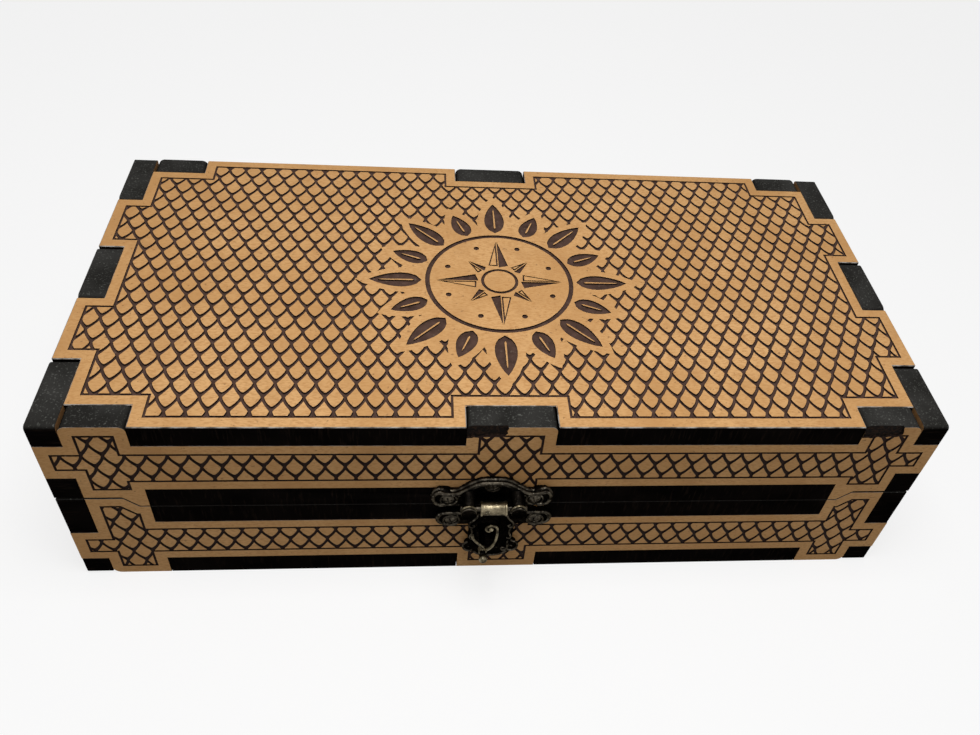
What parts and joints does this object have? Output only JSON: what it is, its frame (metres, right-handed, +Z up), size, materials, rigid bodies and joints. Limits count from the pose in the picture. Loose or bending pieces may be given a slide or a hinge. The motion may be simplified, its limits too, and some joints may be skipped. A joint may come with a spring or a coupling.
{
  "type": "dice storage chest",
  "caption": "Shallow finger-jointed board chest with a hinged lid, a swivel-lever latch, six-sided dice wells and a felt-lined rolling tray in the lid.",
  "frame": {"origin": "centre of the face that the chest stands on", "axes": "+X along the chest, -Y out of the front with the latch, +Z up"},
  "size_m": [0.207, 0.1156, 0.057],
  "materials": {
    "fibreboard": "laser-cut fibreboard, tan faces and charred black edges",
    "felt": "short black felt",
    "antique_bronze": "antique bronze plating, worn bright on its edges",
    "screw_bronze": "antique bronze plating"
  },
  "bodies": {
    "base": {"base_bottom_panel": "fibreboard", "base_front_panel": "fibreboard", "base_back_panel": "fibreboard", "base_left_panel": "fibreboard", "base_right_panel": "fibreboard", "base_deck": "fibreboard", "lower_well_layer": "fibreboard", "upper_well_layer": "fibreboard", "base_felt_pad": "felt", "latch_lower_plate": "antique_bronze", "latch_lever_post": "antique_bronze", "latch_lower_screws": "screw_bronze", "base_hinge_screws": "screw_bronze", "left_hinge_base_leaf": "antique_bronze", "right_hinge_base_leaf": "antique_bronze", "left_hinge_pin": "antique_bronze", "right_hinge_pin": "antique_bronze"},
    "lid": {"lid_top_panel": "fibreboard", "lid_front_panel": "fibreboard", "lid_back_panel": "fibreboard", "lid_left_panel": "fibreboard", "lid_right_panel": "fibreboard", "lid_deck": "fibreboard", "lid_tray_felt": "felt", "latch_upper_plate": "antique_bronze", "latch_upper_screws": "screw_bronze", "latch_pin": "antique_bronze", "lid_hinge_screws": "screw_bronze", "left_hinge_lid_leaf": "antique_bronze", "right_hinge_lid_leaf": "antique_bronze"},
    "tongue": {"latch_tongue": "antique_bronze"},
    "lever": {"latch_lever": "antique_bronze"}
  },
  "joints": [
    {"name": "lid_hinge", "type": "hinge", "parent": "base", "child": "lid", "pos_m": [0, 0.05235, 0.0285], "axis": [-1, 0, 0], "range_deg": [0, 180]},
    {"name": "tongue_hinge", "type": "hinge", "parent": "lid", "child": "tongue", "pos_m": [-0.00315, -0.05685, 0.0349], "axis": [-1, 0, 0], "range_deg": [0, 190]},
    {"name": "lever_swivel", "type": "hinge", "parent": "base", "child": "lever", "pos_m": [-0.0049, -0.0583, 0.0194], "axis": [0, -1, 0], "continuous": true}
  ]
}
